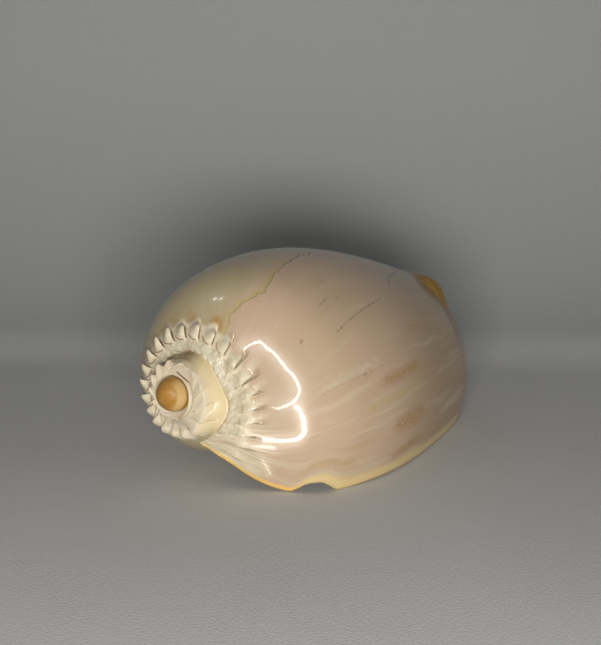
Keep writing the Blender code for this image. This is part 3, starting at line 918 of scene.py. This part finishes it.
def outside_material():
    """Glossy outside: colours lie along growth lines and along the crown."""
    n = Nodes("shell_outside")
    turn, share, run = n.note("turn"), n.note("share"), n.note("run")
    phase, spine, edge = n.note("phase"), n.note("spine"), n.note("edge")
    where = n.place()
    line = n.add(turn, n.mul(n.sub(n.noise(where, 60.0, 3.0), 0.5), 0.010))
    colour = body_colour(n, turn, run, line)
    colour = add_marks(n, colour, turn, run, line)
    colour = add_crown(n, colour, turn, run, phase, spine, edge)
    colour = add_front_and_lip(n, colour, turn, share, run, line)
    n.put(n.shader.inputs["Base Color"], colour)
    n.shader.inputs["Coat Weight"].default_value = 0.38
    n.shader.inputs["Coat Roughness"].default_value = 0.04
    crown = n.smooth(7.0, 3.0, run)
    n.put(n.shader.inputs["Roughness"], n.add(n.mul(crown, 0.25), 0.27))
    growth = n.noise(n.vector(n.mul(line, 220.0), n.mul(run, 0.02)), 1.0, 3.0, 0.6)
    lumps = n.mul(n.noise(where, 640.0, 2.0, 0.5), n.smooth(4.5, 1.0, run))
    fine = n.bump(growth, 0.00008, 0.5)
    n.put(n.shader.inputs["Normal"], n.bump(lumps, 0.0006, 0.5, before=fine))
    return n.material


def dome_material():
    """Amber dome with faint arcs and a lighter crescent on one side."""
    n = Nodes("shell_dome")
    where = n.place()
    share, side = n.note("share"), n.note("phase")
    cloud = n.noise(where, 240.0, 3.0)
    rings = n.noise(n.vector(n.mul(n.add(share, n.mul(cloud, 0.25)), 11.0)), 1.0, 1.0)
    colour = n.mix(n.smooth(0.35, 0.65, cloud), HONEY, (0.40, 0.200, 0.032))
    colour = n.mix(n.mul(n.smooth(0.42, 0.62, rings), 0.35), colour, (0.44, 0.245, 0.055))
    crescent = n.mul(n.smooth(0.66, 0.80, share), n.smooth(0.1, 0.75, side))
    colour = n.mix(n.mul(crescent, 0.8), colour, HONEY_LIGHT)
    n.put(n.shader.inputs["Base Color"], colour)
    n.shader.inputs["Roughness"].default_value = 0.42
    n.shader.inputs["Coat Weight"].default_value = 0.1
    return n.material


def inside_material():
    """Smooth inside: pale orange-cream, shining."""
    n = Nodes("shell_inside")
    cloud = n.noise(n.place(), 30.0, 3.0)
    colour = n.mix(n.smooth(0.3, 0.7, cloud), (0.66, 0.47, 0.25), (0.72, 0.55, 0.34))
    n.put(n.shader.inputs["Base Color"], colour)
    n.shader.inputs["Roughness"].default_value = 0.16
    return n.material


def lip_material():
    """Thin amber edge of the outer lip and of the front end."""
    n = Nodes("shell_lip")
    cloud = n.noise(n.place(), 90.0, 3.0)
    colour = n.mix(n.smooth(0.35, 0.65, cloud), AMBER, (0.74, 0.52, 0.22))
    n.put(n.shader.inputs["Base Color"], colour)
    n.shader.inputs["Roughness"].default_value = 0.3
    return n.material


def cloth_material():
    """Matt pale grey cloth, with painted shade: a little darker where it rises behind the shell."""
    n = Nodes("backdrop_cloth")
    where = n.place()
    weave = n.noise(where, 900.0, 2.0)
    cloud = n.noise(where, 6.0, 3.0)
    height = n.new("ShaderNodeSeparateXYZ")
    n.put(height.inputs[0], where)
    colour = n.mix(n.smooth(0.3, 0.7, cloud), (0.600, 0.592, 0.570), (0.640, 0.632, 0.608))
    # painted shade: the rising cloth is darker than the flat floor
    painted_upper_shade = n.mix(n.smooth(0.05, 0.30, height.outputs["Z"]), (0.43, 0.430, 0.418), (0.48, 0.480, 0.466))
    colour = n.mix(n.smooth(0.0, 0.012, height.outputs["Z"]), colour, painted_upper_shade)
    n.put(n.shader.inputs["Base Color"], colour)
    n.shader.inputs["Roughness"].default_value = 0.95
    n.shader.inputs["Specular IOR Level"].default_value = 0.0
    n.put(n.shader.inputs["Normal"], n.bump(weave, 0.0004, 0.35))
    return n.material


def build_backdrop():
    """Cloth that lies flat under the shell and sweeps up behind it."""
    facing = radians(CAMERA_AZIMUTH)
    away = Vector((-sin(facing), cos(facing), 0.0))
    side = Vector((away.y, -away.x, 0.0))
    profile = [(-1.6, 0.0), (0.0, 0.0), (BEND_START, 0.0)]
    slope = radians(BEND_DEGREES)
    for k in range(1, 17):
        angle = slope * k / 16
        profile.append((BEND_START + BEND_RADIUS * sin(angle), BEND_RADIUS * (1.0 - cos(angle))))
    end = profile[-1]
    profile.append((end[0] + 2.2 * cos(slope), end[1] + 2.2 * sin(slope)))
    points, faces = [], []
    for reach, height in profile:
        for across in (-2.5, 2.5):
            spot = away * reach + side * across
            points.append((spot.x, spot.y, height))
    for k in range(len(profile) - 1):
        faces.append((2 * k, 2 * k + 1, 2 * k + 3, 2 * k + 2))
    mesh = bpy.data.meshes.new("backdrop")
    mesh.from_pydata(points, [], faces)
    mesh.polygons.foreach_set("use_smooth", [True] * len(faces))
    mesh.materials.append(cloth_material())
    backdrop = bpy.data.objects.new("backdrop", mesh)
    bpy.context.scene.collection.objects.link(backdrop)


def camera_axes():
    facing, up = radians(CAMERA_AZIMUTH), radians(CAMERA_ELEVATION)
    back = Vector((sin(facing) * cos(up), -cos(facing) * cos(up), sin(up)))
    right = Vector((0.0, 0.0, 1.0)).cross(back).normalized()
    over = back.cross(right)
    roll = radians(CAMERA_ROLL)
    right, over = right * cos(roll) + over * sin(roll), over * cos(roll) - right * sin(roll)
    return right, over, back


def add_camera():
    right, over, back = camera_axes()
    data = bpy.data.cameras.new("camera")
    data.sensor_fit = "HORIZONTAL"
    data.sensor_width = 36.0
    data.lens = CAMERA_LENS
    camera = bpy.data.objects.new("camera", data)
    bpy.context.scene.collection.objects.link(camera)
    turned = Matrix((right, over, back)).transposed().to_4x4()
    camera.matrix_world = Matrix.Translation(CAMERA_PLACE) @ turned
    bpy.context.scene.camera = camera


def add_area_light(name, aside, above, towards, width, height, power):
    """Soft light placed relative to the camera's view of the shell."""
    right, over, back = camera_axes()
    target = Vector((0.0, 0.0, 0.04))
    place_at = target + right * aside + over * above + back * towards
    data = bpy.data.lights.new(name, "AREA")
    data.shape = "RECTANGLE"
    data.size = width
    data.size_y = height
    data.energy = power
    light = bpy.data.objects.new(name, data)
    bpy.context.scene.collection.objects.link(light)
    aim = (place_at - target).to_track_quat("Z", "Y")
    light.matrix_world = Matrix.Translation(place_at) @ aim.to_matrix().to_4x4()
    light.visible_glossy = False
    return light


def add_lights():
    world = bpy.data.worlds.new("studio")
    bpy.context.scene.world = world
    world.use_nodes = True
    shade = world.node_tree.nodes["Background"]
    shade.inputs["Color"].default_value = (1.0, 1.0, 1.0, 1.0)
    shade.inputs["Strength"].default_value = 0.13
    add_area_light("front_light", 0.0, -0.075, 0.64, 0.28, 0.12, 3.6)


def surface_at(turns, shares):
    return body_grid(turns, shares[:, None])[:, 0]


def mirrored(turns, shares, seat, reach):
    """Where the camera, mirrored in the shell, looks to from each point."""
    small = 1e-4
    spot = surface_at(turns, shares)
    along = surface_at(turns + small, shares) - spot
    across = surface_at(turns, shares + small) - spot
    normal = np.cross(along, across)
    normal /= np.linalg.norm(normal, axis=-1, keepdims=True)
    turn_by = np.array(seat)[:3, :3]
    spot = spot @ turn_by.T + np.array(seat)[:3, 3]
    normal = normal @ turn_by.T
    normal /= np.linalg.norm(normal, axis=-1, keepdims=True)
    view = np.array(CAMERA_PLACE) - spot
    view /= np.linalg.norm(view, axis=-1, keepdims=True)
    facing = (normal * view).sum(-1, keepdims=True)
    return spot + reach * (2.0 * facing * normal - view)


def smooth_line(points, steps=8):
    """Points of a smooth curve through the given points."""
    points = np.array(points, dtype=float)
    ends = np.vstack([2 * points[0] - points[1], points, 2 * points[-1] - points[-2]])
    line = []
    for k in range(1, len(ends) - 2):
        a, b, c, d = ends[k - 1:k + 3]
        for t in np.arange(steps) / steps:
            line.append(0.5 * (2 * b + (c - a) * t + (2 * a - 5 * b + 4 * c - d) * t * t
                               + (3 * b - 3 * c + d - a) * t ** 3))
    line.append(points[-1])
    return np.array(line)


def add_reflection(name, points, width, seat, reach, strength):
    """A bright strip seen only in the shell's gloss, along the given points."""
    line = smooth_line(points)
    turns, shares = line[:, 0], line[:, 1]
    small = 1e-4
    spot = surface_at(turns, shares)
    bases = np.stack([(surface_at(turns + small, shares) - spot) / small,
                      (surface_at(turns, shares + small) - spot) / small], -1)
    ahead = np.gradient(spot, axis=0)
    ahead /= np.linalg.norm(ahead, axis=-1, keepdims=True)
    normal = np.cross(bases[..., 0], bases[..., 1])
    normal /= np.linalg.norm(normal, axis=-1, keepdims=True)
    aside = np.cross(normal, ahead) * 0.5 * width
    shift = np.einsum("kij,kj->ki", np.linalg.pinv(bases), aside)
    edges = [mirrored(turns + sign * shift[:, 0], shares + sign * shift[:, 1], seat, reach)
             for sign in (-1.0, 1.0)]
    count = len(line)
    faces = [(k, k + 1, count + k + 1, count + k) for k in range(count - 1)]
    mesh = bpy.data.meshes.new(name)
    mesh.from_pydata(np.vstack(edges).tolist(), [], faces)
    n = Nodes(name)
    n.shader.inputs["Base Color"].default_value = (0.0, 0.0, 0.0, 1.0)
    n.shader.inputs["Emission Color"].default_value = (1.0, 0.97, 0.94, 1.0)
    n.shader.inputs["Emission Strength"].default_value = strength
    mesh.materials.append(n.material)
    strip = bpy.data.objects.new(name, mesh)
    bpy.context.scene.collection.objects.link(strip)
    for ray in ("camera", "diffuse", "transmission", "volume_scatter", "shadow"):
        setattr(strip, "visible_" + ray, False)


def add_reflections(seat):
    for k, (points, width, reach, strength) in enumerate(REFLECTIONS):
        add_reflection("gloss_strip_%d" % k, points, width, seat, reach, strength)


def main():
    bpy.context.scene.view_settings.view_transform = "Standard"
    materials = [outside_material(), dome_material(), inside_material(), lip_material()]
    shell, seat = build_shell(materials)
    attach(shell, "root")
    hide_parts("shell")
    build_backdrop()
    add_camera()
    add_lights()
    add_reflections(seat)
    bpy.context.view_layer.update()


main()
